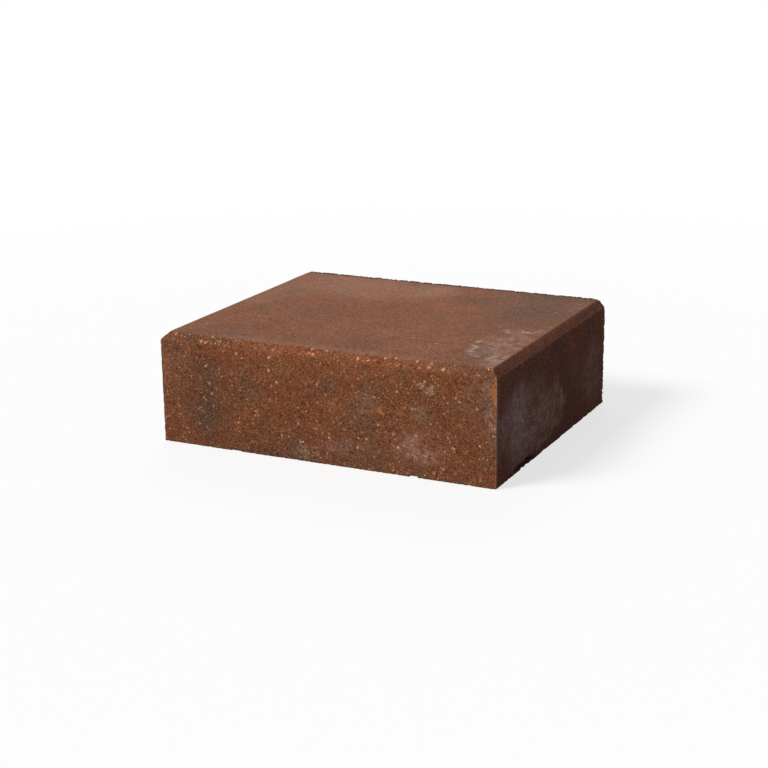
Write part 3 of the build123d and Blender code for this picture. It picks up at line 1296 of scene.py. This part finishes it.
def end_finish(groups, colours):
    """The right end, smooth from the mould, with a broad bloom in grey and pink, in colours darkened partly
    as painted shade.
    """
    finish = Finish("end_concrete", groups, colours)
    base = finish.mottle(colours.end, colours.end_deep, size=50.0, sharpness=2.4)
    finish.colour = finish.mottle(base, colours.tread_grey, size=60.0, sharpness=2.0, share=0.27)
    finish.stains(colours.end_deep, END_DARKS)
    finish.slopes(colours.end_slope, strength=0.9)
    finish.stains(colours.tread, SLOPE_PALES)
    finish.stains(colours.end_deep, SLOPE_DARKS)
    finish.streaks(size=9.0, shade=0.6)
    finish.sand(size=2.0, shade=0.7, dust=0.06, warmth=0.0, stand=0.06)
    finish.slopes(colours.end_slope, strength=0.25)
    finish.pores(spacing=6.5, radius=1.8, share=0.06, ragged=3.0, strength=0.5, sink=0.2)
    finish.grains(spacing=6.0, radius=1.8, share=0.04, ragged=3.0, strength=0.4, stand=0.02)
    finish.blooms(colours.end_pink, wispy=0.6, dust=1.5, spots=END_PINKS)
    finish.blooms(colours.end_bloom, wispy=0.5, dust=1.5, spots=END_BLOOMS)
    finish.crumbs(strength=0.95)
    # painted shade in the long pocket low in this end
    finish.hollows(strength=1.0)
    finish.rub(strength=0.6)
    return finish.done(roughness=0.88, specular=0.12)


def left_end_finish(groups, colours):
    """The left end, smooth from the mould too, in the tread's tones with a fainter bloom."""
    finish = Finish("left_end_concrete", groups, colours)
    base = finish.mottle(colours.tread, colours.tread_deep, size=40.0, sharpness=2.0)
    finish.colour = finish.mottle(base, colours.tread_grey, size=60.0, sharpness=2.2, share=0.36)
    finish.stains(colours.tread_pale, LEFT_END_PALES)
    finish.stains(colours.tread_deep, LEFT_END_DEEPS)
    finish.streaks(size=9.0, shade=0.35)
    finish.sand(size=1.9, shade=0.42, dust=0.03, warmth=0.06, stand=0.06)
    finish.pores(spacing=6.5, radius=1.8, share=0.06, ragged=3.0, strength=0.6, sink=0.2)
    finish.grains(spacing=7.0, radius=2.2, share=0.04, ragged=4.0, strength=0.7, stand=0.03)
    finish.blooms(colours.bloom, wispy=1.0, dust=1.8, spots=LEFT_END_BLOOMS)
    finish.crumbs(strength=0.8)
    finish.hollows(strength=1.0)
    finish.rub(strength=0.4)
    return finish.done(roughness=0.88, specular=0.12)


def split_finish(groups, colours):
    """The split back: broken paste and stones, darkened partly as painted shade."""
    finish = Finish("split_concrete", groups, colours)
    base = finish.mottle(colours.broken_and_shaded, colours.riser_deep, size=18.0, sharpness=3.0)
    finish.colour = finish.mottle(base, colours.riser_grey, size=30.0, sharpness=3.0, share=0.45)
    finish.sand(size=1.8, shade=1.2, dust=0.012, warmth=0.3, stand=0.5)
    finish.grains(spacing=5.0, radius=2.6, share=0.12, ragged=4.0, strength=0.7, stand=0.3)
    finish.grains(spacing=11.0, radius=6.0, share=0.14, ragged=7.0, strength=0.6, stand=0.5)
    finish.pores(spacing=4.3, radius=1.8, share=0.15, ragged=3.0, strength=0.8, sink=0.8)
    finish.crumbs(strength=0.8)
    return finish.done(roughness=0.95, specular=0.08)


def bed_finish(groups, colours):
    """The bed, flat from the pallet that the block was cast on."""
    finish = Finish("bed_concrete", groups, colours)
    base = finish.mottle(colours.riser, colours.riser_deep, size=30.0, sharpness=2.0)
    finish.colour = finish.mottle(base, colours.riser_grey, size=60.0, sharpness=3.0, share=0.5)
    finish.sand(size=1.8, shade=1.0, dust=0.012, warmth=0.3, stand=0.25)
    finish.pores(spacing=5.0, radius=1.6, share=0.14, ragged=2.5, strength=0.7, sink=0.4)
    finish.grains(spacing=5.0, radius=2.0, share=0.08, ragged=2.5, strength=0.5, stand=0.05)
    finish.crumbs(strength=0.6)
    return finish.done(roughness=0.92, specular=0.1)


# In the order of the numbers from RISER to LEFT_END
FINISHES = (riser_finish, tread_finish, end_finish, split_finish, bed_finish, left_end_finish)


class STEPBLOCK_OT_block(bpy.types.Operator):
    """Casts the step block and gives each of its surfaces its finish"""

    bl_idname = "stepblock.block"
    bl_label = "Step Block"

    def execute(self, context):
        sizes = context.scene.step_block_sizes
        colours = context.scene.step_block_colours
        mesh = make_block(sizes)
        block = bpy.data.objects.new("step_block_cast", mesh)
        context.scene.collection.objects.link(block)
        groups = {
            "mottle": mottle_group(),
            "sand": sand_group(),
            "specks": specks_group(),
            "stain": stain_group(),
        }
        groups["bloom"] = bloom_group(groups["stain"])
        for finish in FINISHES:
            mesh.materials.append(finish(groups, colours))
        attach(block, "root")
        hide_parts("step_block")
        return {"FINISHED"}


# Studio

SENSOR = 36.0  # width of the camera's sensor in millimetres
FLOOR_WHITE = 0.95  # tone of the floor where it is seen
FLOOR_REACH = 8.0  # metres from the middle of the floor to its sides
CLEAR_FROM = 0.75  # metres from the origin where the floor's shading starts to fade to white
CLEAR_TO = 1.9  # metres from the origin where the floor is plain white
KEY_AZIMUTH, KEY_ELEVATION, KEY_SOFTNESS = math.radians(-41), math.radians(43), math.radians(24)
BACK_AZIMUTH, BACK_ELEVATION, BACK_SOFTNESS = math.radians(-155), math.radians(35), math.radians(40)


def direction(azimuth, elevation):
    """The way towards something at an angle round the block and above the floor."""
    flat = math.cos(elevation)
    return Vector((math.sin(azimuth) * flat, -math.cos(azimuth) * flat, math.sin(elevation)))


def add_lamp(name, level, azimuth, elevation, softness):
    """A soft even lamp far away."""
    lamp = bpy.data.lights.new(name, "SUN")
    lamp.energy = level
    lamp.angle = softness
    holder = bpy.data.objects.new(name, lamp)
    holder.rotation_mode = "QUATERNION"
    holder.rotation_quaternion = direction(azimuth, elevation).to_track_quat("Z", "Y")
    bpy.context.scene.collection.objects.link(holder)


def seen_ray(graph):
    """1 for the rays that show a thing to the camera, straight on or in a gloss."""
    rays = graph.add("ShaderNodeLightPath", {}).outputs
    seen = graph.math("MAXIMUM", rays["Is Camera Ray"], rays["Is Glossy Ray"])
    return graph.math("MAXIMUM", seen, rays["Is Transmission Ray"])


def floor_material(studio):
    """A plain pale floor that keeps the block's shadow and fades to white away from it."""
    material = bpy.data.materials.new("floor")
    material.use_nodes = True
    graph = Graph(material.node_tree)
    shader = material.node_tree.nodes["Principled BSDF"]
    shader.inputs["Roughness"].default_value = 1.0
    shader.inputs["Specular IOR Level"].default_value = 0.0
    seen = seen_ray(graph)
    tone = graph.mix(seen, [studio.floor_tone] * 3, [FLOOR_WHITE] * 3)
    graph.feed(shader.inputs["Base Color"], tone)
    place = graph.add("ShaderNodeTexCoord", {}).outputs["Object"]
    distance = graph.vector("LENGTH", place).outputs["Value"]
    clear = graph.step(distance, CLEAR_FROM, CLEAR_TO)
    share = graph.math("ADD", studio.floor_white, graph.math("MULTIPLY", clear, 1.0 - studio.floor_white))
    white = graph.add("ShaderNodeEmission", {"Color": (1, 1, 1), "Strength": 1.0}).outputs[0]
    factor = graph.math("MULTIPLY", share, seen)
    mixed = graph.add("ShaderNodeMixShader", {0: factor, 1: shader.outputs[0], 2: white}).outputs[0]
    graph.feed(material.node_tree.nodes["Material Output"].inputs["Surface"], mixed)
    return material


def studio_world(studio):
    """White where it is seen, and an even fill everywhere else."""
    world = bpy.data.worlds.new("studio")
    world.use_nodes = True
    graph = Graph(world.node_tree)
    background = world.node_tree.nodes["Background"]
    fill = [studio.fill_level] * 3
    graph.feed(background.inputs["Color"], graph.mix(seen_ray(graph), fill, (1.0, 1.0, 1.0)))
    bpy.context.scene.world = world


def add_camera(studio):
    """The camera at the angle from which the block is seen."""
    back = direction(studio.azimuth, studio.elevation)
    level = Vector((math.cos(studio.azimuth), math.sin(studio.azimuth), 0))
    upright = back.cross(level)
    across = math.cos(studio.roll) * level + math.sin(studio.roll) * upright
    up = math.cos(studio.roll) * upright - math.sin(studio.roll) * level
    lens = bpy.data.cameras.new("camera")
    lens.lens = studio.lens
    lens.sensor_width = SENSOR
    camera = bpy.data.objects.new("camera", lens)
    camera.matrix_world = Matrix.Translation(
        across * studio.aim_across + up * studio.aim_up + back * studio.distance
    ) @ Matrix((across, up, back)).transposed().to_4x4()
    bpy.context.scene.collection.objects.link(camera)
    bpy.context.scene.camera = camera


class STEPBLOCK_OT_stage(bpy.types.Operator):
    """Lays the floor and sets up the lamps, the fill and the camera"""

    bl_idname = "stepblock.stage"
    bl_label = "Stage"

    def execute(self, context):
        studio = context.scene.step_block_studio
        bm = bmesh.new()
        bmesh.ops.create_grid(bm, x_segments=1, y_segments=1, size=FLOOR_REACH)
        mesh = bpy.data.meshes.new("floor")
        bm.to_mesh(mesh)
        bm.free()
        floor = bpy.data.objects.new("floor", mesh)
        context.scene.collection.objects.link(floor)
        mesh.materials.append(floor_material(studio))
        add_lamp("key", studio.key_level, KEY_AZIMUTH, KEY_ELEVATION, KEY_SOFTNESS)
        add_lamp("back", studio.back_level, BACK_AZIMUTH, BACK_ELEVATION, BACK_SOFTNESS)
        studio_world(studio)
        add_camera(studio)
        context.scene.view_settings.view_transform = "Standard"
        return {"FINISHED"}


class STEPBLOCK_PT_panel(bpy.types.Panel):
    """Lists the sizes, the colours and the steps that make the block"""

    bl_idname = "STEPBLOCK_PT_panel"
    bl_label = "Step Block"
    bl_space_type = "VIEW_3D"
    bl_region_type = "UI"
    bl_category = "Step Block"

    def draw(self, context):
        scene = context.scene
        for settings in (scene.step_block_sizes, scene.step_block_colours, scene.step_block_studio):
            box = self.layout.box()
            for name in settings.__annotations__:
                box.prop(settings, name)
        self.layout.operator(STEPBLOCK_OT_block.bl_idname)
        self.layout.operator(STEPBLOCK_OT_stage.bl_idname)


CLASSES = (
    BlockSizes,
    BlockColours,
    StudioSettings,
    STEPBLOCK_OT_block,
    STEPBLOCK_OT_stage,
    STEPBLOCK_PT_panel,
)


def register():
    for kind in CLASSES:
        bpy.utils.register_class(kind)
    bpy.types.Scene.step_block_sizes = bpy.props.PointerProperty(type=BlockSizes)
    bpy.types.Scene.step_block_colours = bpy.props.PointerProperty(type=BlockColours)
    bpy.types.Scene.step_block_studio = bpy.props.PointerProperty(type=StudioSettings)


def unregister():
    del bpy.types.Scene.step_block_studio
    del bpy.types.Scene.step_block_colours
    del bpy.types.Scene.step_block_sizes
    for kind in reversed(CLASSES):
        bpy.utils.unregister_class(kind)


def main():
    """Makes the block and the stage."""
    register()
    bpy.ops.stepblock.block()
    bpy.ops.stepblock.stage()


if __name__ == "__main__":
    main()
